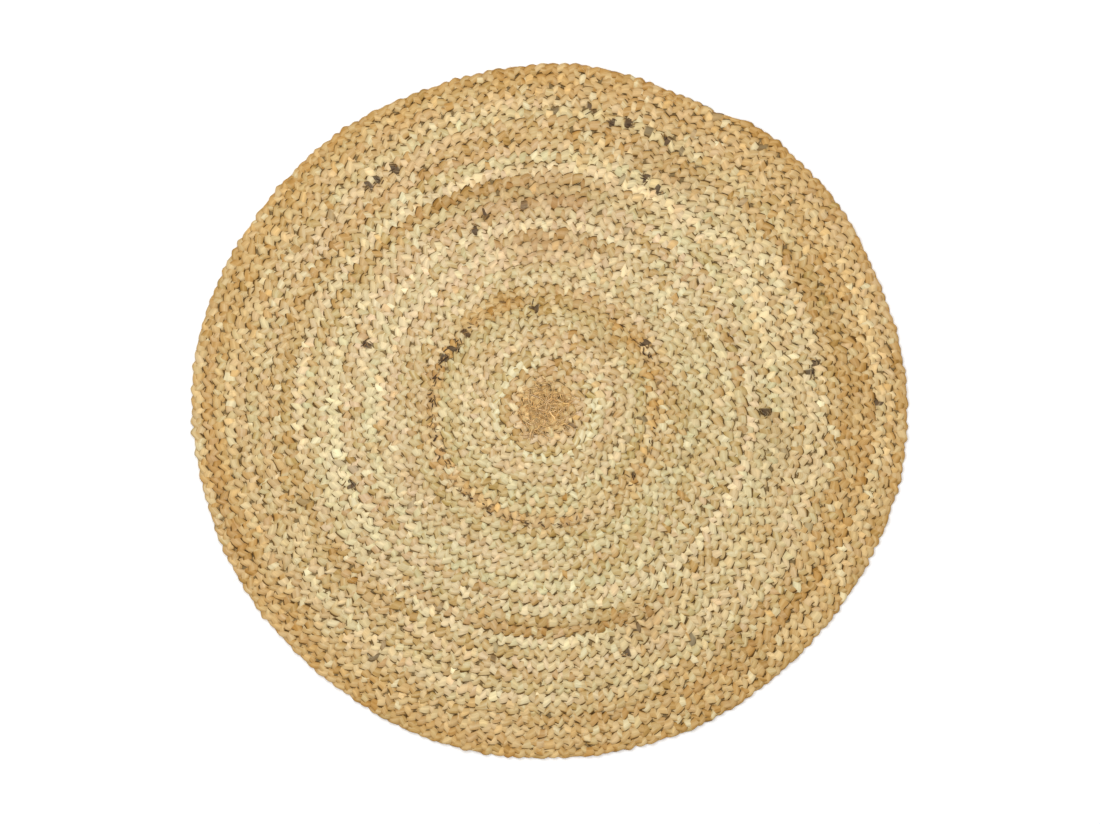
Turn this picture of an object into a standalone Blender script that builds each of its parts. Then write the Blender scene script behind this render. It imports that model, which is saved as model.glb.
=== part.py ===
"""Round jute rug: one flat three-strand plait wound into a coil and sewn edge to edge.

Metres, +Z up. The rug lies flat on z = 0, and the origin is the middle of its outline's box.
"""

import math

import bmesh
import bpy
from mathutils import Vector

# Driving dimensions
WIDTH = 1.200              # across the widest part of the coil, along X
PLAIT_WIDTH = 0.018        # one turn of the plait, and so the step where the coil ends
THICKNESS = 0.009          # a plait of soft three-ply jute, lying flat
END_BEARING = math.radians(62)    # where the plait runs out, counter-clockwise from +X
END_TAPER = 0.095          # length over which the plait thins to nothing at its end
RIM_ROUNDING = 0.0035      # the plait's rounded outer edge, above and below
RIM_SEGMENTS = 3
OUTLINE_POINTS = 252
SHARP_ANGLE = math.radians(35)

# The coil isn't a true circle. Each row is a wave round the edge: how many lobes it has,
# how far they stand out (metres), and the bearing of the first lobe (degrees from +X).
LOBES = (
    # lobes  height  bearing
    (1, 0.0035, -50),      # the eye of the coil sits off the middle
    (2, 0.0066, -4),       # wider across X than across Y
    (4, 0.0025, -6),
    (5, 0.0008, 11),
    (7, 0.0009, -15),
    (8, 0.0016, -8),       # the stiff plait turns in short flats
    (9, 0.0010, 7),
)

JUTE_COLOUR = (0.59, 0.45, 0.25, 1.0)
JUTE_ROUGHNESS = 0.9


def clear_scene():
    for thing in list(bpy.data.objects):
        bpy.data.objects.remove(thing, do_unlink=True)


def smooth_step(share):
    """0 to 1, level at both ends."""
    share = min(max(share, 0.0), 1.0)
    return share * share * (3.0 - 2.0 * share)


def edge_offset(bearing, mean_radius):
    """How far the coil's edge stands from its mean radius at one bearing."""
    turn = ((bearing - END_BEARING) / math.tau) % 1.0
    left = (1.0 - turn) * math.tau * mean_radius
    plait = PLAIT_WIDTH * (smooth_step(left / END_TAPER) - 1.0)
    coil = PLAIT_WIDTH * (turn - 0.5)
    lobes = sum(
        height * math.cos(count * (bearing - math.radians(first)))
        for count, height, first in LOBES
    )
    return coil + plait + lobes


def outline():
    """Points round the edge, scaled to WIDTH and centred on the origin."""
    mean_radius = WIDTH / 2
    for _ in range(3):
        points = []
        for step in range(OUTLINE_POINTS):
            bearing = math.tau * step / OUTLINE_POINTS
            radius = mean_radius + edge_offset(bearing, mean_radius)
            points.append(Vector((radius * math.cos(bearing), radius * math.sin(bearing), 0.0)))
        low_x, high_x = min(p.x for p in points), max(p.x for p in points)
        low_y, high_y = min(p.y for p in points), max(p.y for p in points)
        mean_radius += (WIDTH - (high_x - low_x)) / 2
    middle = Vector(((low_x + high_x) / 2, (low_y + high_y) / 2, 0.0))
    return [point - middle for point in points]


def jute_material():
    material = bpy.data.materials.new("jute")
    material.use_nodes = True
    surface = material.node_tree.nodes["Principled BSDF"]
    surface.inputs["Base Color"].default_value = JUTE_COLOUR
    surface.inputs["Roughness"].default_value = JUTE_ROUGHNESS
    surface.inputs["Metallic"].default_value = 0.0
    return material


def add_plait_coil():
    """The coiled plait as one flat body with a rounded rim."""
    shape = bmesh.new()
    floor_face = shape.faces.new([shape.verts.new(point) for point in outline()])
    lifted = bmesh.ops.extrude_face_region(shape, geom=[floor_face])
    top = [item for item in lifted["geom"] if isinstance(item, bmesh.types.BMVert)]
    bmesh.ops.translate(shape, verts=top, vec=(0.0, 0.0, THICKNESS))
    bmesh.ops.recalc_face_normals(shape, faces=shape.faces[:])
    rims = [edge for edge in shape.edges if abs(edge.verts[0].co.z - edge.verts[1].co.z) < THICKNESS / 2]
    bmesh.ops.bevel(
        shape,
        geom=rims,
        offset=RIM_ROUNDING,
        segments=RIM_SEGMENTS,
        profile=0.5,
        affect="EDGES",
        material=-1,
    )
    mesh = bpy.data.meshes.new("plait_coil")
    shape.to_mesh(mesh)
    shape.free()
    mesh.shade_smooth()
    mesh.set_sharp_from_angle(angle=SHARP_ANGLE)
    mesh.materials.append(jute_material())
    rug = bpy.data.objects.new("plait_coil", mesh)
    bpy.context.collection.objects.link(rug)
    return rug


clear_scene()
add_plait_coil()
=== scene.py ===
"""Round jute rug: a flat three-strand plait wound into a coil and sewn edge to edge, on a pale floor."""

import math

import bmesh
import bpy
import numpy as np
from mathutils import Matrix, Vector


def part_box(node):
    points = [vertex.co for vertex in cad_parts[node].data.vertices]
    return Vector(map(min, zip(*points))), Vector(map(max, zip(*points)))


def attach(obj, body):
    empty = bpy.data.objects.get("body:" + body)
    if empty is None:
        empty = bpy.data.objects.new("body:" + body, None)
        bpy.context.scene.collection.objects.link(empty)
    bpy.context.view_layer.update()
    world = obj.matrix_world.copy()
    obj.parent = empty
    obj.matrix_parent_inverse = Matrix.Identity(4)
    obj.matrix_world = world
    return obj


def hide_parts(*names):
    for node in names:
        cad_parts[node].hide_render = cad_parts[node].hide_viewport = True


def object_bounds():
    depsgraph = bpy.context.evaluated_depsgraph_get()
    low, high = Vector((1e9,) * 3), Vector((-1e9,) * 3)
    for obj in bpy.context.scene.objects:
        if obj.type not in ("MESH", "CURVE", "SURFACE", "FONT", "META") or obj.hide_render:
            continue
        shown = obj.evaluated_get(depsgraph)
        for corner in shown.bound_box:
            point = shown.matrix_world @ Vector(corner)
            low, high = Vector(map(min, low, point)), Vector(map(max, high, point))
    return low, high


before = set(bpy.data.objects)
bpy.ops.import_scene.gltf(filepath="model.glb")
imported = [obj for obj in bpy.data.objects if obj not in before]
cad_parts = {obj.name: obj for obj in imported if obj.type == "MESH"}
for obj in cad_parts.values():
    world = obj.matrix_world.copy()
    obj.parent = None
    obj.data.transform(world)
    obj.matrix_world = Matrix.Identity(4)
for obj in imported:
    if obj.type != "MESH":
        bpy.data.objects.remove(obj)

cad_low, cad_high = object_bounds()

# The coil, as the frame's solid has it
TURNS = 32
END_BEARING = math.radians(62)    # where the plait runs out, counter-clockwise from +X
END_TAPER = 0.095                 # length over which the plait thins to its end
PLAIT_WIDTH = 0.018
LOBES = (
    # lobes  height  bearing: waves round the edge, in metres and degrees
    (1, 0.0035, -50),
    (2, 0.0066, -4),
    (4, 0.0025, -6),
    (5, 0.0008, 11),
    (7, 0.0009, -15),
    (8, 0.0016, -8),
    (9, 0.0010, 7),
)
COIL_GRAIN = (
    # turn  width of the plait  length of one petal: the maker's hand tightens and slackens
    (0, 0.0165, 0.0155),
    (6, 0.0172, 0.0158),
    (12, 0.0176, 0.0160),
    (18, 0.0192, 0.0169),
    (24, 0.0190, 0.0176),
    (32, 0.0180, 0.0184),
)
EYE_RADIUS = 0.001                # the inner edge of the plait where it starts

# One strand of the plait. Widths are shares of the plait's half width, heights of its half thickness.
STRANDS = 3
PETALS_A_REPEAT = 3               # each strand shows one petal on either side in a repeat
SLICES = 15                       # along one repeat of a strand
SIDES = 8                         # round a strand
SWING = 0.54                      # how far a strand's middle swings to either side
SWING_TURN = -0.02                # it lingers a little at the plait's edges
STRAND_WIDTH = 0.92
STRAND_NECK = 0.02                # wider where strands cross than at the plait's edges
CLIMB = 0.60                      # how far a strand rises and dips as it crosses
CLIMB_TURN = 0.04                 # it dives under its neighbour quickly and comes up slowly
STRAND_THICKNESS = 0.50
BOXINESS = 0.73                   # below 1 the strand's section is fuller than an oval
SKEW = 0.10                       # a strand crosses the outer row more steeply than the inner one
LEAN = 0.20                       # each turn's outer edge lies a little proud of the next turn
OVERHANG = 1.03                   # how far petals reach, squeezed a little over the next turn
RIM_REACH = 0.80                  # the same on the rug's rim, where nothing squeezes them
END_THICKNESS = 0.6               # how thick the plait still is at its last repeat
UNEVEN = {
    # the hand's unevenness: the usual size of each drift of a strand
    "sway": 0.12,                 # share of the swing
    "shift": 0.08,                # of its middle, sideways
    "girth": 0.14,                # share of the width
    "depth": 0.15,                # share of the thickness
    "rise": 0.10,                 # up and down
    "slip": 0.21,                 # along itself, in radians of a repeat
    "roll": 0.21,                 # round its own middle
}
STRETCH = 0.20                    # slip of all the strands together
TIGHT_MIDDLE = 0.12               # how much less of a strand's side gets painted slit shade in the tight inner turns
TIGHT_TURNS = 14.0                # how many those are
TIGHT_FADE = 8.0                  # and the turns over which the rest follows
STRAND_HALF = (0.005, 0.0025)     # half a strand's width and thickness, for the grain of its fibre
STRAND_APART = 100.0              # keeps the grain of one strand unlike the next one's

# The thin dark sheet at half height: painted shade deep in the slits between strands
SHADE_SHEET_INSET = 0.006                 # from the rug's rim
SHADE_SHEET_LEVEL = 0.0044
SHADE_SHEET_THICKNESS = 0.0014

# Loose fibres
HAIR_SLICES = 9                   # along a loose fibre
HAIR_BED = 0.95                   # share of the rug's height where its two ends lie
HAIR_ARCH = 0.14                  # and how much higher its middle is
HAIR_TIP = 0.35                   # how thin its ends are
HAIR_FLAT = 0.7                   # how thick it is for its width
HAIR_HALF = 0.0005                # half its width, for the grain
HAIR_LOWEST = 0.0002              # no fibre goes lower than this
HAIR_APART = 4.0                  # between the straight fibres, before each is laid on its own path
HAIR_GRAIN_APART = 3.0            # keeps the grain of one unlike the next one's

# The felt button over the eye
BUTTON_HALF = (0.013, 0.012)      # its half length and half width
BUTTON_HEIGHT = 0.40              # half its height, as a share of the rug's
BUTTON_LEVEL = 0.47               # the height of its middle, likewise

BANDS = 5                         # the coil is made in lengths that end on one another
SEED = 41

# The studio
FLOOR_HALF = 6.0
FLOOR_COLOUR = (0.95, 0.95, 0.95, 1.0)
ROOM_LIGHT = 0.75
LAMP_PLACE = (-0.35, 0.5, 2.6)
LAMP_WIDTH = 2.6
LAMP_POWER = 48.0
LENS = 120.0                      # millimetres, as the sensor's width is
SENSOR_WIDTH = 36.0
VIEW_MARGIN = 1.5385              # the view's width over the rug's
VIEW_MIDDLE = (0.0008, -0.0017)


def smooth_step(share):
    share = np.clip(share, 0.0, 1.0)
    return share * share * (3.0 - 2.0 * share)


def lobes_at(bearing):
    return sum(
        height * np.cos(count * (bearing - math.radians(first))) for count, height, first in LOBES
    )


class Wander:
    """Smooth random drift along the plait, drawn once, with its knots evenly spaced."""

    def __init__(self, rng, knots, rows=1):
        self.values = rng.normal(0.0, 1.0, (rows, knots + 2))

    def at(self, place, row=0):
        place = np.clip(place, 0.0, self.values.shape[1] - 2.001)
        first = np.floor(place).astype(int)
        share = smooth_step(place - first)
        values = self.values[row]
        return values[first] * (1.0 - share) + values[first + 1] * share


class Coil:
    """The spiral the plait is wound on: where its edges run and how long it is up to each point."""

    STEPS_A_TURN = 720
    KNOTS_A_TURN = 20
    WANDER = 0.0006               # how far a seam strays from the true spiral
    LIKE_LAST_TURN = 0.75         # how much of that each turn takes over from the turn inside it
    ITS_OWN = 0.66                # and how much is new, so that the size stays about the same
    LEAST_RADIUS = 0.0004
    OUTLINE_POINTS = 252

    def __init__(self, rng):
        turn, width, petal = (np.array(column, float) for column in zip(*COIL_GRAIN))
        self.fine = np.linspace(0.0, TURNS, TURNS * self.STEPS_A_TURN + 1)
        self.mean_radius = self.fit_to_frame()
        rim = self.mean_radius - PLAIT_WIDTH / 2
        widths = np.interp(self.fine, turn, width)
        steps = (widths[1:] + widths[:-1]) / 2 * np.diff(self.fine)
        grown = np.concatenate([[0.0], np.cumsum(steps)])
        self.grown = EYE_RADIUS + grown * (rim - EYE_RADIUS) / grown[-1]
        drift = rng.normal(0.0, 1.0, (TURNS + 2) * self.KNOTS_A_TURN)
        for knot in range(self.KNOTS_A_TURN, len(drift)):
            inner = drift[knot - self.KNOTS_A_TURN]
            drift[knot] = self.LIKE_LAST_TURN * inner + self.ITS_OWN * drift[knot]
        self.drift = drift
        middle = (self.edge(self.fine) + self.edge(self.fine + 1.0)) / 2
        bearing = self.bearing(self.fine)
        x, y = middle * np.cos(bearing), middle * np.sin(bearing)
        step = np.hypot(np.diff(x), np.diff(y))
        self.length = np.concatenate([[0.0], np.cumsum(step)])
        repeat = PETALS_A_REPEAT * np.interp((self.fine[1:] + self.fine[:-1]) / 2, turn, petal)
        repeats = np.concatenate([[0.0], np.cumsum(step / repeat)])
        self.repeats = math.floor(repeats[-1])
        self.along = repeats * self.repeats / repeats[-1]

    def fit_to_frame(self):
        """Sets the eye, and gives the mean radius that makes the outline as wide as the frame's solid."""
        low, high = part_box("plait_coil")
        mean_radius = (high.x - low.x) / 2
        for _ in range(3):
            bearing, radius = self.outline(mean_radius)
            x, y = radius * np.cos(bearing), radius * np.sin(bearing)
            mean_radius += ((high.x - low.x) - (x.max() - x.min())) / 2
        middle = (low + high) / 2
        self.eye = Vector((middle.x - (x.max() + x.min()) / 2, middle.y - (y.max() + y.min()) / 2, 0.0))
        return mean_radius

    def outline(self, mean_radius):
        """Bearings all round, and the radius of the rim at each."""
        bearing = np.linspace(0.0, math.tau, self.OUTLINE_POINTS, endpoint=False)
        return bearing, mean_radius + self.rim_offset(bearing, mean_radius)

    def rim_offset(self, bearing, mean_radius):
        """How far the rim is outside its mean radius: the spiral, its waves and the thinning end."""
        turn = ((bearing - END_BEARING) / math.tau) % 1.0
        left = (1.0 - turn) * math.tau * mean_radius
        return (
            PLAIT_WIDTH * (smooth_step(left / END_TAPER) - 1.0)
            + PLAIT_WIDTH * (turn - 0.5)
            + lobes_at(bearing)
        )

    def bearing(self, turn):
        return END_BEARING + math.tau * (turn - TURNS)

    def edge(self, turn):
        """The radius of the seam at this turn: the plait's inner edge, and the last turn's outer edge."""
        inside = np.interp(turn, self.fine, self.grown)
        inside = inside + np.maximum(turn - TURNS, 0.0) * PLAIT_WIDTH
        share = inside / self.mean_radius
        knots = turn * self.KNOTS_A_TURN
        first = np.clip(np.floor(knots).astype(int), 0, len(self.drift) - 2)
        part = smooth_step(knots - first)
        drift = self.drift[first] * (1.0 - part) + self.drift[first + 1] * part
        # No drift at the eye or at the rim
        quiet = smooth_step((TURNS - turn) / 2.0) * smooth_step(turn / 1.5)
        return inside + lobes_at(self.bearing(turn)) * share**2 + drift * quiet * self.WANDER

    def edges(self, turn):
        """The plait's inner and outer edge at this turn, thinning at the plait's end."""
        inner = self.edge(turn)
        left = (TURNS - turn) * math.tau * self.mean_radius
        return inner, inner + (self.edge(turn + 1.0) - inner) * smooth_step(left / END_TAPER)

    def outermost(self, turn):
        """1 on the last turn, whose outer side is the rug's rim, and 0 on the others."""
        return smooth_step((turn - (TURNS - 1)) / 0.02)

    def turn_at(self, along):
        return np.interp(along, self.along, self.fine)

    def length_at(self, along):
        return np.interp(along, self.along, self.length)

    def place(self, along, across):
        """Where a point of the plait lies: along in repeats, across in half widths from its middle."""
        turn = self.turn_at(along)
        inner, outer = self.edges(turn)
        middle, half = (inner + outer) / 2, (outer - inner) / 2
        outermost = self.outermost(turn)
        reach = np.where(across > 0, OVERHANG + outermost * (RIM_REACH - OVERHANG), OVERHANG)
        radius = np.maximum(middle + across * reach * half, self.LEAST_RADIUS)
        bearing = self.bearing(turn)
        return self.eye.x + radius * np.cos(bearing), self.eye.y + radius * np.sin(bearing)


class Plait:
    """How the strands cross: the path, width and thickness of each, with the unevenness of a hand."""

    KNOTS_A_REPEAT = 4

    def __init__(self, rng, repeats):
        knots = (repeats + 2) * self.KNOTS_A_REPEAT
        self.drifts = {kind: Wander(rng, knots, STRANDS) for kind in UNEVEN}
        self.stretch = Wander(rng, knots // 2)

    def section(self, strand, along, side_y, side_z):
        """The point of a strand's surface across the plait and up, both as shares of its half sizes."""
        knot = (along + strand / STRANDS) * self.KNOTS_A_REPEAT
        drift = {kind: size * self.drifts[kind].at(knot, strand) for kind, size in UNEVEN.items()}
        phase = math.tau * (along + strand / STRANDS)
        phase = phase + drift["slip"] + STRETCH * self.stretch.at(knot / 2)
        phase = phase - SKEW * np.cos(phase)
        middle = SWING * (1.0 + drift["sway"]) * np.sin(phase) + SWING_TURN * np.sin(3 * phase)
        middle = middle + drift["shift"]
        width = (STRAND_WIDTH + STRAND_NECK * np.cos(2 * phase)) * (1.0 + drift["girth"])
        height = STRAND_THICKNESS * (1.0 + drift["depth"])
        level = -CLIMB * (np.sin(2 * phase) + CLIMB_TURN * np.sin(4 * phase)) + drift["rise"]
        fuller_y = np.sign(side_y) * np.abs(side_y) ** BOXINESS
        fuller_z = np.sign(side_z) * np.abs(side_z) ** BOXINESS
        across = middle + width * (fuller_y - drift["roll"] * fuller_z)
        up = level + height * (fuller_z + drift["roll"] * fuller_y) + LEAN * across
        return across, up


def arrayed(mesh, count, offset, welded=False):
    """A mesh repeated in a row, joined into one mesh."""
    holder = bpy.data.objects.new("repeated", mesh)
    bpy.context.scene.collection.objects.link(holder)
    array = holder.modifiers.new("repeats", "ARRAY")
    array.count = count
    array.use_relative_offset = False
    array.use_constant_offset = True
    array.constant_offset_displace = offset
    array.use_merge_vertices = welded
    array.merge_threshold = 0.0001
    seen = holder.evaluated_get(bpy.context.evaluated_depsgraph_get())
    row = bpy.data.meshes.new_from_object(seen)
    bpy.data.objects.remove(holder)
    return row


def open_tube(shape, sides, slices):
    """A straight tube of unit radius and length along X, extruded slice by slice, with open ends."""
    ring = bmesh.ops.create_circle(shape, segments=sides, radius=1.0)["verts"]
    bmesh.ops.rotate(shape, verts=ring, matrix=Matrix.Rotation(math.radians(90), 3, "Y"))
    edges = shape.edges[:]
    for _ in range(slices):
        grown = bmesh.ops.extrude_edge_only(shape, edges=edges)["geom"]
        points = [item for item in grown if isinstance(item, bmesh.types.BMVert)]
        edges = [item for item in grown if isinstance(item, bmesh.types.BMEdge)]
        bmesh.ops.translate(shape, verts=points, vec=(1.0 / slices, 0.0, 0.0))


def mesh_from(shape, name):
    mesh = bpy.data.meshes.new(name)
    shape.to_mesh(mesh)
    shape.free()
    return mesh


def strand_tube(repeats):
    """One repeat of a strand, arrayed into a straight tube."""
    shape = bmesh.new()
    open_tube(shape, SIDES, SLICES)
    return arrayed(mesh_from(shape, "strand_repeat"), repeats, (1.0, 0.0, 0.0), welded=True)


def points_of(mesh):
    values = np.zeros(len(mesh.vertices) * 3, np.float32)
    mesh.vertices.foreach_get("co", values)
    return values.reshape(-1, 3).astype(float)


def add_value(mesh, name, values, kind="FLOAT"):
    field = mesh.attributes.new(name, kind, "POINT")
    key = "value" if kind == "FLOAT" else "vector"
    field.data.foreach_set(key, np.asarray(values, np.float32).ravel())


def finish_piece(mesh, name, material):
    """A finished mesh as a piece of the rug."""
    mesh.name = name
    mesh.materials.clear()
    mesh.materials.append(material)
    piece = bpy.data.objects.new(name, mesh)
    bpy.context.scene.collection.objects.link(piece)
    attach(piece, "root")
    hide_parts("plait_coil")
    return piece


# Where the jute is not the common straw. Bearings in degrees counter-clockwise from +X,
# radii in metres from the eye of the coil.
DARK_PETALS = (
    # bearing  radius
    (129, 0.478), (126, 0.472), (122, 0.477), (107, 0.337), (111, 0.324), (81, 0.503), (77, 0.493),
    (73, 0.497), (66, 0.495), (66, 0.421), (62, 0.413), (137, 0.186), (146, 0.176), (155, 0.188),
    (98, 0.170), (32, 0.198), (26, 0.195), (10, 0.463), (7, 0.453), (-1, 0.371), (1, 0.552),
    (160, 0.320), (201, 0.351), (288, 0.433),
)
OLIVE_PETALS = (
    (70, 0.492), (63, 0.487), (50, 0.570), (-27, 0.050), (-4, 0.165), (292, 0.401), (303, 0.461),
    (258, 0.431), (235, 0.506), (88, 0.505), (96, 0.345), (14, 0.190),
)
DARK_SEAMS = (
    # radius  first bearing  last bearing  dark ends along it
    (0.189, 150, 214, 44),
    (0.196, 218, 292, 34),
    (0.188, 95, 150, 12),
    (0.190, -60, 60, 22),
)
SMUDGES = (
    # bearing  radius  length round the coil  width across it  strength
    (88, 0.277, 0.090, 0.022, 0.9),
    (90, 0.362, 0.100, 0.030, 0.8),
    (295, 0.400, 0.050, 0.016, 0.9),
    (45, 0.150, 0.040, 0.020, 0.4),
    (352, 0.385, 0.060, 0.040, 0.35),
    (62, 0.440, 0.090, 0.040, 0.35),
)
RINGS = (
    # kind  radius  width  first bearing  last bearing  strength: turns plaited from other jute
    ("pale", 0.080, 0.008, 90, 400, 0.9),
    ("gold", 0.186, 0.010, -60, 60, 1.0),
    ("gold", 0.186, 0.009, 95, 300, 1.3),
    ("earth", 0.192, 0.007, 150, 300, 0.8),
)
WARMTH = (
    # radius  share of golden fibre in every petal
    (0.000, 1.00), (0.030, 0.85), (0.050, 0.40), (0.065, 0.10), (0.165, 0.06), (0.180, 0.16),
    (0.200, 0.16), (0.215, 0.02), (0.340, 0.06), (0.400, 0.22), (0.490, 0.32), (0.515, 0.45),
    (0.530, 0.64), (0.545, 0.72), (0.600, 0.60),
)
RING_FADE = 12.0                  # degrees over which a ring starts and ends
RIM_DARKER = 0.6                  # steps of tone that the outermost turns are darker
RIM_DARKER_FROM = 0.50            # from this radius
RIM_DARKER_FADE = 0.04            # and fully this much further out
# How much petals differ: each by itself, by batch of one strand, and by lot of jute
TONE_SPREAD = (0.95, 0.50, 0.85)
HUE_SPREAD = (0.60, 0.50, 0.70)
GOLD_SPREAD = (0.12, 0.06, -0.10)
TONE_LOTS = (9, 36)               # how long a batch and a lot are, in quarters of a repeat
HUE_LOTS = (14, 44)
STAIN_LOT = 20
STAIN = 0.35                      # share of earth in the most stained petals
GREENER_SIDE = (280, 0.25)        # its bearing, and by how much
WARMER_SIDE = (60, 0.05)
ODD_PETALS = (
    # kind  from  up to: the share of petals that are odd by chance  strength
    ("char", 0.000, 0.003, 0.35),
    ("gold", 0.100, 0.140, 0.45),
    ("pale", 0.200, 0.240, 0.50),
    ("earth", 0.300, 0.330, 0.40),
)


class Dye:
    """The colour of each petal: one row for each strand, one column for each quarter of a repeat."""

    KINDS = ("gold", "earth", "pale", "char")

    def __init__(self, rng, coil):
        self.quarters = (coil.repeats + 2) * 4
        shape = (STRANDS, self.quarters)
        number = np.arange(self.quarters)[None, :]
        along = (number + 0.5) / 4 - np.arange(STRANDS)[:, None] / STRANDS
        side = np.broadcast_to(np.where(number % 4 < 2, 0.45, -0.45), shape)
        x, y = coil.place(np.clip(along, 0.0, coil.repeats), side)
        self.x, self.y = x - coil.eye.x, y - coil.eye.y
        self.bearing = np.degrees(np.arctan2(self.y, self.x))
        self.radius = np.hypot(self.x, self.y)
        self.shows = (number % 2 == 1) & (along > 0) & (along < coil.repeats)

        batch, lot = self.lots(rng, TONE_LOTS[0], STRANDS), self.lots(rng, TONE_LOTS[1])
        self.tone = self.spread(rng, TONE_SPREAD, batch, lot)
        self.tone -= RIM_DARKER * smooth_step((self.radius - RIM_DARKER_FROM) / RIM_DARKER_FADE)
        hue_batch, hue_lot = self.lots(rng, HUE_LOTS[0], STRANDS), self.lots(rng, HUE_LOTS[1])
        self.hue = self.spread(rng, HUE_SPREAD, hue_batch, hue_lot) + self.towards(*GREENER_SIDE)
        self.masks = {kind: np.zeros(shape) for kind in self.KINDS}
        ring, warmth = (np.array(column) for column in zip(*WARMTH))
        self.masks["gold"] += np.interp(self.radius, ring, warmth)
        self.masks["gold"] += self.towards(*WARMER_SIDE)
        self.masks["gold"] += self.spread(rng, GOLD_SPREAD, batch, lot)
        stain = self.lots(rng, STAIN_LOT)
        self.masks["earth"] += STAIN * smooth_step((stain - 0.9) / 0.9) * rng.random(shape)
        self.dye_rings(rng, batch)
        self.dye_smudges(rng)
        self.dye_marks()
        self.dye_odd_petals(rng)

    def lots(self, rng, length, rows=1):
        """Drift in lots of this many quarters of a repeat, for each strand by itself or for all alike."""
        places = np.arange(self.quarters) / length
        return np.stack([Wander(rng, self.quarters // length).at(places) for _ in range(rows)])

    def spread(self, rng, shares, batch, lot):
        own = rng.normal(0.0, 1.0, self.radius.shape)
        return shares[0] * own + shares[1] * batch + shares[2] * lot

    def towards(self, bearing, most):
        """A value that is highest at this bearing and lowest opposite."""
        return most * np.cos(np.radians(self.bearing - bearing))

    def dye_rings(self, rng, batch):
        for kind, ring, width, first, last, strength in RINGS:
            turned = (self.bearing - first) % 360
            left = last - first - turned
            inside = smooth_step(left / RING_FADE) * smooth_step(turned / RING_FADE)
            near = np.exp(-(((self.radius - ring) / width) ** 2))
            if kind != "pale":
                patchy = 0.55 + 0.45 * batch + 0.35 * rng.normal(0.0, 1.0, self.tone.shape)
                near = near * np.clip(patchy, 0.0, 1.2)
            self.masks[kind] += strength * inside * near

    def dye_smudges(self, rng):
        for place, ring, length, width, strength in SMUDGES:
            around = np.radians((self.bearing - place + 180) % 360 - 180) * ring
            near = np.exp(-((around / length) ** 2) - ((self.radius - ring) / width) ** 2)
            self.masks["earth"] += strength * near * (0.6 + 0.4 * rng.random(self.tone.shape))

    def dye_marks(self):
        """The petal nearest to each mark is dyed dark."""
        for marks, strength in ((DARK_PETALS, 0.9), (OLIVE_PETALS, 0.65)):
            for place, ring in marks:
                spot = math.radians(place)
                away = np.hypot(self.x - ring * math.cos(spot), self.y - ring * math.sin(spot))
                nearest = np.argmin(np.where(self.shows, away, np.inf))
                self.masks["char"].flat[nearest] = strength

    def dye_odd_petals(self, rng):
        odd = rng.random(self.tone.shape)
        for kind, least, most, strength in ODD_PETALS:
            self.masks[kind] += np.where((odd >= least) & (odd < most), strength, 0.0)

    def at(self, strand, along):
        """tone, hue and masks of the petal that each point belongs to."""
        quarter = np.floor((along + strand / STRANDS) * 4).astype(int)
        values = {"tone": self.tone[strand, quarter], "hue": self.hue[strand, quarter]}
        for kind, mask in self.masks.items():
            values[kind] = np.clip(mask[strand, quarter], 0.0, 1.0)
        return values


def plait_band(name, coil, plait, dye, first, last, material):
    """The plait from one repeat to another, as its three strands wound onto the coil."""
    tube = strand_tube(last - first)
    shape = bmesh.new()
    for _ in range(STRANDS):
        shape.from_mesh(tube)
    rims = [edge for edge in shape.edges if edge.is_boundary]
    caps = bmesh.ops.holes_fill(shape, edges=rims, sides=SIDES)["faces"]
    for face in shape.faces:
        face.smooth = True
    for face in caps:
        face.smooth = False
    mesh = mesh_from(shape, name)
    straight = points_of(mesh)
    count = len(tube.vertices)
    bpy.data.meshes.remove(tube)
    wound = np.zeros_like(straight)
    fibre = np.zeros_like(straight)
    shades = {}
    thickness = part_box("plait_coil")[1].z
    for strand in range(STRANDS):
        rows = slice(strand * count, (strand + 1) * count)
        along = np.clip(straight[rows, 0] + first, 0.0, coil.repeats)
        side_y, side_z = straight[rows, 1], straight[rows, 2]
        across, up = plait.section(strand, along, side_y, side_z)
        wound[rows, 0], wound[rows, 1] = coil.place(along, across)
        thin = END_THICKNESS + (1.0 - END_THICKNESS) * smooth_step((coil.repeats - along) / 2.0)
        wound[rows, 2] = np.maximum(thickness / 2 * (1.0 + up) * thin, 0.0)
        fibre[rows, 0] = coil.length_at(along) + STRAND_APART * strand
        fibre[rows, 1] = side_y * STRAND_HALF[0]
        fibre[rows, 2] = side_z * STRAND_HALF[1]
        turn = coil.turn_at(along)
        # flank sets the painted slit shade: none on the rim's outer side, less in the tight inner turns
        rim = coil.outermost(turn) * smooth_step((across - 0.2) / 0.4)
        tighter = TIGHT_MIDDLE * (1.0 - smooth_step((turn - TIGHT_TURNS) / TIGHT_FADE))
        # crown sets painted shading: 1 along a petal's middle, 0 at its sides
        petal = {"flank": np.maximum(np.abs(side_z) + tighter, rim), "crown": 1.0 - np.abs(side_y)}
        petal.update(dye.at(strand, along))
        for key, values in petal.items():
            shades.setdefault(key, np.zeros(len(straight)))[rows] = values
    mesh.vertices.foreach_set("co", wound.astype(np.float32).ravel())
    mesh.update()
    shape = bmesh.new()
    shape.from_mesh(mesh)
    bmesh.ops.recalc_face_normals(shape, faces=shape.faces[:])
    shape.to_mesh(mesh)
    shape.free()
    add_value(mesh, "fibre", fibre, "FLOAT_VECTOR")
    for key, values in shades.items():
        add_value(mesh, key, values)
    return finish_piece(mesh, name, material)


def fibre_tubes(count):
    """Straight three-sided hairs side by side, one arrayed from another, each along X from 0 to 1."""
    shape = bmesh.new()
    open_tube(shape, 3, HAIR_SLICES)
    bmesh.ops.holes_fill(shape, edges=[edge for edge in shape.edges if edge.is_boundary], sides=3)
    bmesh.ops.recalc_face_normals(shape, faces=shape.faces[:])
    for face in shape.faces:
        face.smooth = True
    return arrayed(mesh_from(shape, "hair"), count, (0.0, HAIR_APART, 0.0))


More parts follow.
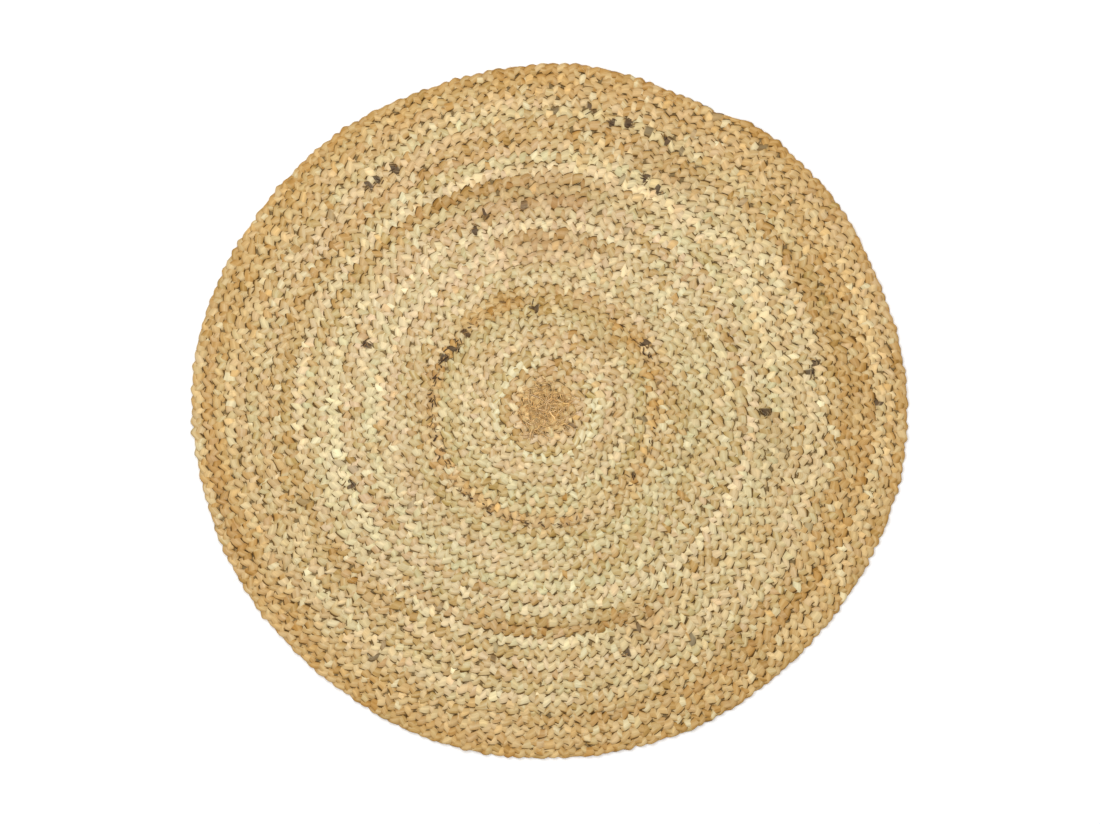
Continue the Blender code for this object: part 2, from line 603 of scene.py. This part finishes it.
def hairs(name, coil, rng, lay, material, shades):
    """Loose fibres that lie on the coil, each a thin tube on its own wandering path.

    lay holds the radius, bearing, length, girth, lift, bend and outward turn of every fibre, and
    shades the mean and spread of each of its colour values.
    """
    count = len(lay["length"])
    mesh = fibre_tubes(count)
    straight = points_of(mesh)
    which = np.round(straight[:, 1] / HAIR_APART).astype(int)
    rows = (which, np.round(straight[:, 0] * HAIR_SLICES).astype(int))
    side_y, side_z = straight[:, 1] - HAIR_APART * which, straight[:, 2]

    fibre = {key: values[:, None] for key, values in lay.items()}
    share = np.linspace(0.0, 1.0, HAIR_SLICES + 1)[None, :]
    wander = fibre["bend"] * np.cumsum(rng.normal(0.0, 1.0, (count, HAIR_SLICES + 1)), axis=1)
    angle = fibre["bearing"] + math.pi / 2 - fibre["outward"] + wander
    angle = angle + fibre["length"] / fibre["radius"].clip(0.02) * share
    step = fibre["length"] / HAIR_SLICES
    x = fibre["radius"] * np.cos(fibre["bearing"]) + np.cumsum(step * np.cos(angle), axis=1)
    y = fibre["radius"] * np.sin(fibre["bearing"]) + np.cumsum(step * np.sin(angle), axis=1)
    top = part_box("plait_coil")[1].z
    arch = np.sin(math.pi * share) ** 0.6
    z = top * HAIR_BED + (fibre["lift"] + top * HAIR_ARCH) * arch
    taper = HAIR_TIP + (1.0 - HAIR_TIP) * np.sin(math.pi * (0.1 + 0.8 * share))
    thin = (fibre["girth"] * taper)[rows]

    wound = np.zeros_like(straight)
    wound[:, 0] = coil.eye.x + x[rows] - np.sin(angle[rows]) * side_y * thin
    wound[:, 1] = coil.eye.y + y[rows] + np.cos(angle[rows]) * side_y * thin
    wound[:, 2] = np.maximum(z[rows] + side_z * thin * HAIR_FLAT, HAIR_LOWEST)
    mesh.vertices.foreach_set("co", wound.astype(np.float32).ravel())
    mesh.update()
    along = straight[:, 0] * lay["length"][which] + HAIR_GRAIN_APART * which
    grain = np.stack([along, side_y * HAIR_HALF, side_z * HAIR_HALF], axis=1)
    add_value(mesh, "fibre", grain, "FLOAT_VECTOR")
    for key, spread in shades.items():
        add_value(mesh, key, rng.normal(spread[0], spread[1], count)[which])
    # no painted slit shade on the loose fibres
    add_value(mesh, "flank", np.ones(len(straight)))
    # crown: painted shading, each loose fibre lighter on top and darker underneath
    add_value(mesh, "crown", 0.5 + 0.5 * side_z)
    return finish_piece(mesh, name, material)


def centre_tangle(coil, rng, material):
    """The felted fibre over the eye of the coil."""
    count = 300
    lay = {
        "radius": 0.002 + 0.042 * rng.random(count) ** 0.75,
        "bearing": rng.random(count) * math.tau,
        "length": rng.uniform(0.012, 0.030, count),
        "girth": rng.uniform(0.0006, 0.0014, count),
        "lift": rng.uniform(-0.0016, 0.0012, count),
        "bend": rng.uniform(0.20, 0.50, count),
        "outward": rng.normal(0.0, 0.9, count),
    }
    shades = {
        "tone": (1.6, 2.0),
        "hue": (-2.4, 0.8),
        "gold": (0.80, 0.25),
        "earth": (0.30, 0.40),
        "pale": (0, 0),
        "char": (0, 0),
    }
    return hairs("centre_tangle", coil, rng, lay, material, shades)


def dark_ends(coil, rng, material):
    """Short dark and rusty ends in the plait: a few at each dark petal, more along the dark seams."""
    bearing, radius = (np.repeat(np.array(column, float), 4) for column in zip(*DARK_PETALS))
    for ring, first, last, count in DARK_SEAMS:
        bearing = np.concatenate([bearing, rng.uniform(first, last, count)])
        radius = np.concatenate([radius, np.full(count, ring)])
    count = len(bearing)
    lay = {
        "radius": radius + rng.normal(0.0, 0.0022, count),
        "bearing": np.radians(bearing) - rng.uniform(0.0, 0.009, count) / radius,
        "length": rng.uniform(0.005, 0.013, count),
        "girth": rng.uniform(0.0007, 0.0015, count),
        "lift": rng.uniform(0.0000, 0.0010, count),
        "bend": rng.uniform(0.05, 0.22, count),
        "outward": rng.normal(0.0, 0.5, count),
    }
    shades = {
        "tone": (-0.5, 0.8),
        "hue": (-1, 1),
        "gold": (0.7, 0.3),
        "earth": (0.6, 0.3),
        "pale": (0, 0),
        "char": (0.75, 0.35),
    }
    return hairs("dark_ends", coil, rng, lay, material, shades)


def stray_hairs(coil, rng, material):
    """Fine ends of fibre all over the coil, most of them along the plait."""
    count = 1300
    lay = {
        "radius": 0.045 + 0.535 * np.sqrt(rng.random(count)),
        "bearing": rng.random(count) * math.tau,
        "length": rng.uniform(0.010, 0.030, count),
        "girth": rng.uniform(0.00010, 0.00022, count),
        "lift": rng.uniform(-0.0004, 0.0012, count),
        "bend": rng.uniform(0.05, 0.25, count),
        "outward": rng.normal(0.0, 0.6, count),
    }
    shades = {
        "tone": (0.8, 0.8),
        "hue": (0, 1),
        "gold": (0.2, 0.2),
        "earth": (0, 0.05),
        "pale": (0.3, 0.3),
        "char": (0, 0),
    }
    return hairs("stray_hairs", coil, rng, lay, material, shades)


def felt_button(coil, material):
    """Fibre pressed into the eye of the coil, under the tangle."""
    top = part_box("plait_coil")[1].z
    shape = bmesh.new()
    bmesh.ops.create_uvsphere(shape, u_segments=48, v_segments=24, radius=1.0)
    bmesh.ops.scale(shape, verts=shape.verts[:], vec=(*BUTTON_HALF, top * BUTTON_HEIGHT))
    middle = (coil.eye.x, coil.eye.y, top * BUTTON_LEVEL)
    bmesh.ops.translate(shape, verts=shape.verts[:], vec=middle)
    for face in shape.faces:
        face.smooth = True
    mesh = mesh_from(shape, "felt_button")
    place = points_of(mesh) - np.array(coil.eye)
    radius, bearing = np.hypot(place[:, 0], place[:, 1]), np.arctan2(place[:, 1], place[:, 0])
    grain = np.stack([radius * bearing, radius, place[:, 2]], axis=1)
    add_value(mesh, "fibre", grain, "FLOAT_VECTOR")
    shades = {
        "tone": 0.2,
        "hue": -1.6,
        "gold": 0.9,
        "earth": 0.45,
        "pale": 0,
        "char": 0,
        # flank 1: no painted slit shade
        "flank": 1,
        # crown 0.5: half the painted crown shade all over the button
        "crown": 0.5,
    }
    for key, value in shades.items():
        add_value(mesh, key, np.full(len(place), value))
    return finish_piece(mesh, "felt_button", material)


def painted_shade_sheet(coil, material):
    """A thin sheet at half height, coloured as painted shade: the dark seen deep in the slits between
    strands.
    """
    shape = bmesh.new()
    bearing, radius = coil.outline(coil.mean_radius)
    low = SHADE_SHEET_LEVEL - SHADE_SHEET_THICKNESS / 2
    points = [
        shape.verts.new((coil.eye.x + r * math.cos(b), coil.eye.y + r * math.sin(b), low))
        for b, r in zip(bearing, radius - SHADE_SHEET_INSET)
    ]
    sheet = shape.faces.new(points)
    grown = bmesh.ops.extrude_face_region(shape, geom=[sheet])["geom"]
    top = [item for item in grown if isinstance(item, bmesh.types.BMVert)]
    bmesh.ops.translate(shape, verts=top, vec=(0.0, 0.0, SHADE_SHEET_THICKNESS))
    bmesh.ops.recalc_face_normals(shape, faces=shape.faces[:])
    return finish_piece(mesh_from(shape, "painted_shade_sheet"), "painted_shade_sheet", material)


def socket(group, name, kind, way="INPUT", value=None):
    made = group.interface.new_socket(name=name, in_out=way, socket_type=kind)
    if value is not None:
        made.default_value = value
    return made


def mix_colour(tree, share, first, second):
    """A colour mix node; share, first and second are sockets or values."""
    node = tree.nodes.new("ShaderNodeMix")
    node.data_type = "RGBA"
    for name, value in ((0, share), (6, first), (7, second)):
        if isinstance(value, bpy.types.NodeSocket):
            tree.links.new(value, node.inputs[name])
        else:
            node.inputs[name].default_value = value
    return node.outputs[2]


def calc(tree, operation, *values, clamp=False):
    """A maths node; values are sockets or numbers."""
    node = tree.nodes.new("ShaderNodeMath")
    node.operation = operation
    node.use_clamp = clamp
    for place, value in enumerate(values):
        if isinstance(value, bpy.types.NodeSocket):
            tree.links.new(value, node.inputs[place])
        else:
            node.inputs[place].default_value = value
    return node.outputs[0]


# Colours of the fibre
STRAW = (0.680, 0.560, 0.326, 1.0)
STRAW_GREEN = (0.620, 0.555, 0.312, 1.0)
STRAW_PINK = (0.680, 0.500, 0.308, 1.0)
GOLD = (0.630, 0.400, 0.152, 1.0)
EARTH = (0.440, 0.245, 0.085, 1.0)
PALE = (0.800, 0.735, 0.470, 1.0)
CHAR = (0.070, 0.039, 0.022, 1.0)
# Painted shade: the colour of the dark slits between strands
PAINTED_SLIT_SHADE = (0.150, 0.083, 0.018, 1.0)
UNSHADED = (1.0, 1.0, 1.0, 1.0)
SHADE_TINT = (1.32, 0.98, 0.44, 1.0)    # what darker fibre turns towards: browner, not only darker; painted warm shade on the shaded sides, the colour of darker jute elsewhere

# How light the fibre is, 1 being its colour as it stands: these shares are added up; the crown's share is
# painted shading
CROWN_LIGHT = 0.485               # along a petal's crown
CROWN_PAINTED_SHADE = 0.29                # painted shade: how much darker it is at the petal's sides
TONE_STEP = 0.100                 # one step of tone
STREAK_SHARE = 0.40               # the fine streaks
PATCH_SHARE = 0.52                # the broad ones
SHADE_START = 0.86                # fibre darker than this turns brown
SHADE_WARMTH = 2.0                # and this is how fast
HUE_STEP = 0.45                   # how far one step of hue goes towards green or pink
ROUGHNESS = 0.58
STREAK_ROUGHNESS = 0.25           # how much rougher the fibre is where it is light

# Streaks a metre: along the strand, across it and through it
STREAKS = (60.0, 1500.0, 1500.0)
PATCHES = (35.0, 420.0, 420.0)

CREASE_SHADE_FULL = 0.13                 # share of a strand's height below which its side gets the full painted slit shade
CREASE_SHADE_NONE = 0.60                # and above which it gets no painted shade
SHEET_SHADE = 0.84                   # how much of the sheet's colour is the painted slit shade


def fibre_noise(group, fibre, streaks, detail, roughness):
    """Noise stretched along the fibre."""
    stretch = group.nodes.new("ShaderNodeMapping")
    stretch.inputs["Scale"].default_value = streaks
    group.links.new(fibre, stretch.inputs["Vector"])
    noise = group.nodes.new("ShaderNodeTexNoise")
    noise.inputs["Scale"].default_value = 1.0
    noise.inputs["Detail"].default_value = detail
    noise.inputs["Roughness"].default_value = roughness
    group.links.new(stretch.outputs["Vector"], noise.inputs["Vector"])
    return noise.outputs["Fac"]


def jute_group():
    """Colour, roughness and fine relief of jute fibre, streaked along the strand."""
    group = bpy.data.node_groups.new("jute_fibre", "ShaderNodeTree")
    socket(group, "Fibre", "NodeSocketVector")
    for name in ("Tone", "Hue", "Gold", "Earth", "Pale", "Char", "Depth"):
        socket(group, name, "NodeSocketFloat", value=0.0)
    socket(group, "Crown", "NodeSocketFloat", value=1.0)
    socket(group, "Colour", "NodeSocketColor", "OUTPUT")
    socket(group, "Roughness", "NodeSocketFloat", "OUTPUT")
    socket(group, "Height", "NodeSocketFloat", "OUTPUT")
    nodes, links = group.nodes, group.links
    given = nodes.new("NodeGroupInput").outputs
    result = nodes.new("NodeGroupOutput").inputs
    streak = fibre_noise(group, given["Fibre"], STREAKS, detail=3.0, roughness=0.6)
    patch = fibre_noise(group, given["Fibre"], PATCHES, detail=2.0, roughness=0.5)

    green = calc(group, "MULTIPLY", given["Hue"], HUE_STEP, clamp=True)
    pink = calc(group, "MULTIPLY", given["Hue"], -HUE_STEP, clamp=True)
    colour = mix_colour(group, green, STRAW, STRAW_GREEN)
    colour = mix_colour(group, pink, colour, STRAW_PINK)
    colour = mix_colour(group, given["Gold"], colour, GOLD)
    colour = mix_colour(group, given["Pale"], colour, PALE)
    streaky = calc(group, "ADD", patch, 0.4)
    earth = calc(group, "MULTIPLY", given["Earth"], streaky, clamp=True)
    colour = mix_colour(group, earth, colour, EARTH)
    blotch = calc(group, "MULTIPLY_ADD", patch, 4.0, -0.75)
    char = calc(group, "MULTIPLY", given["Char"], calc(group, "MINIMUM", blotch, 1.0), clamp=True)
    colour = mix_colour(group, char, colour, CHAR)
    # Painted shade: the slit colour mixed in where strands meet and shade falls
    colour = mix_colour(group, given["Depth"], colour, PAINTED_SLIT_SHADE)

    # Painted shading: lighter along each petal's crown, darker at its sides
    light = calc(group, "MULTIPLY_ADD", given["Crown"], CROWN_PAINTED_SHADE, CROWN_LIGHT - CROWN_PAINTED_SHADE)
    light = calc(group, "MULTIPLY_ADD", given["Tone"], TONE_STEP, light)
    light = calc(group, "MULTIPLY_ADD", streak, STREAK_SHARE, light)
    light = calc(group, "MULTIPLY_ADD", patch, PATCH_SHARE, light)
    # Darker fibre turns browner: painted warm shade where the painted crown shade darkens it, the real
    # colour of darker jute where tone does
    missing = calc(group, "SUBTRACT", SHADE_START, light)
    shade = calc(group, "MULTIPLY", missing, SHADE_WARMTH, clamp=True)
    tinted = nodes.new("ShaderNodeVectorMath")
    tinted.operation = "MULTIPLY"
    links.new(colour, tinted.inputs[0])
    links.new(mix_colour(group, shade, UNSHADED, SHADE_TINT), tinted.inputs[1])
    scaled = nodes.new("ShaderNodeVectorMath")
    scaled.operation = "SCALE"
    links.new(tinted.outputs[0], scaled.inputs[0])
    links.new(light, scaled.inputs["Scale"])
    links.new(scaled.outputs[0], result["Colour"])
    roughness = calc(group, "MULTIPLY_ADD", streak, STREAK_ROUGHNESS, ROUGHNESS)
    links.new(roughness, result["Roughness"])
    links.new(calc(group, "ADD", streak, patch), result["Height"])
    return group


def jute_material(name, group, specular, relief_strength, relief_height):
    """A matt material that takes the fibre group's colour, roughness and relief, and its group node."""
    material = bpy.data.materials.new(name)
    material.use_nodes = True
    tree = material.node_tree
    surface = tree.nodes["Principled BSDF"]
    surface.inputs["Specular IOR Level"].default_value = specular
    fibre = tree.nodes.new("ShaderNodeGroup")
    fibre.node_tree = group
    tree.links.new(fibre.outputs["Colour"], surface.inputs["Base Color"])
    tree.links.new(fibre.outputs["Roughness"], surface.inputs["Roughness"])
    relief = tree.nodes.new("ShaderNodeBump")
    relief.inputs["Strength"].default_value = relief_strength
    relief.inputs["Distance"].default_value = relief_height
    tree.links.new(fibre.outputs["Height"], relief.inputs["Height"])
    tree.links.new(relief.outputs["Normal"], surface.inputs["Normal"])
    return material, fibre


def read_value(tree, name, target, output="Fac"):
    """A value stored on the mesh, led to a socket."""
    field = tree.nodes.new("ShaderNodeAttribute")
    field.attribute_name = name
    tree.links.new(field.outputs[output], target)


def strand_material(group):
    """Jute strand: each petal its own straw, matt with a faint sheen, with painted shade low on its sides
    where strands meet.
    """
    material, fibre = jute_material(
        "jute_strand", group, specular=0.12, relief_strength=0.35, relief_height=0.0004
    )
    tree = material.node_tree
    surface = tree.nodes["Principled BSDF"]
    surface.inputs["Sheen Weight"].default_value = 0.02
    surface.inputs["Sheen Roughness"].default_value = 0.5
    read_value(tree, "fibre", fibre.inputs["Fibre"], "Vector")
    for name in ("tone", "hue", "gold", "earth", "pale", "char", "crown"):
        read_value(tree, name, fibre.inputs[name.capitalize()])
    # Painted slit shade: full along the middle of a strand's side, none towards its top and bottom
    side = tree.nodes.new("ShaderNodeMapRange")
    side.interpolation_type = "SMOOTHSTEP"
    side.inputs["From Min"].default_value = CREASE_SHADE_FULL
    side.inputs["From Max"].default_value = CREASE_SHADE_NONE
    side.inputs["To Min"].default_value = 1.0
    side.inputs["To Max"].default_value = 0.0
    read_value(tree, "flank", side.inputs["Value"])
    tree.links.new(side.outputs["Result"], fibre.inputs["Depth"])
    return material


def shade_sheet_material(group):
    """The sheet's jute: mostly the painted slit shade, a step darker in tone."""
    material, fibre = jute_material(
        "shade_sheet_jute", group, specular=0.10, relief_strength=0.5, relief_height=0.0006
    )
    fibre.inputs["Depth"].default_value = SHEET_SHADE
    fibre.inputs["Tone"].default_value = -1.0
    place = material.node_tree.nodes.new("ShaderNodeTexCoord")
    material.node_tree.links.new(place.outputs["Object"], fibre.inputs["Fibre"])
    return material


def add_floor():
    shape = bmesh.new()
    bmesh.ops.create_grid(shape, x_segments=1, y_segments=1, size=FLOOR_HALF)
    mesh = mesh_from(shape, "floor")
    floor = bpy.data.objects.new("floor", mesh)
    bpy.context.scene.collection.objects.link(floor)
    material = bpy.data.materials.new("floor_paint")
    material.use_nodes = True
    surface = material.node_tree.nodes["Principled BSDF"]
    surface.inputs["Base Color"].default_value = FLOOR_COLOUR
    surface.inputs["Roughness"].default_value = 0.9
    surface.inputs["Specular IOR Level"].default_value = 0.1
    mesh.materials.append(material)


def add_lights():
    """A white room and one large soft lamp above, a little to the left and behind."""
    world = bpy.data.worlds.new("studio")
    bpy.context.scene.world = world
    world.use_nodes = True
    room = world.node_tree.nodes["Background"]
    room.inputs["Color"].default_value = (1.0, 1.0, 1.0, 1.0)
    room.inputs["Strength"].default_value = ROOM_LIGHT
    lamp = bpy.data.lights.new("softbox", "AREA")
    lamp.shape = "DISK"
    lamp.size = LAMP_WIDTH
    lamp.energy = LAMP_POWER
    softbox = bpy.data.objects.new("softbox", lamp)
    softbox.location = LAMP_PLACE
    softbox.rotation_euler = (-softbox.location).to_track_quat("-Z", "Y").to_euler()
    bpy.context.scene.collection.objects.link(softbox)


def add_camera():
    """Straight above the rug, through a long lens."""
    lens = bpy.data.cameras.new("camera")
    lens.lens = LENS
    lens.sensor_width = SENSOR_WIDTH
    lens.clip_end = 50.0
    distance = VIEW_MARGIN * (cad_high.x - cad_low.x) * LENS / SENSOR_WIDTH
    camera = bpy.data.objects.new("camera", lens)
    camera.location = (VIEW_MIDDLE[0], VIEW_MIDDLE[1], cad_high.z + distance)
    bpy.context.scene.collection.objects.link(camera)
    bpy.context.scene.camera = camera


add_camera()
add_lights()
add_floor()
bpy.context.scene.view_settings.view_transform = "Standard"

rng = np.random.default_rng(SEED)
coil = Coil(rng)
plait = Plait(rng, coil.repeats)
dye = Dye(rng, coil)
fibre_group = jute_group()
jute = strand_material(fibre_group)
ends = [round(coil.repeats * part / BANDS) for part in range(BANDS + 1)]
bands = [
    plait_band(f"plait_{number + 1}", coil, plait, dye, ends[number], ends[number + 1], jute)
    for number in range(BANDS)
]
shade_sheet = painted_shade_sheet(coil, shade_sheet_material(fibre_group))
loose = [
    felt_button(coil, jute),
    centre_tangle(coil, rng, jute),
    stray_hairs(coil, rng, jute),
    dark_ends(coil, rng, jute),
]
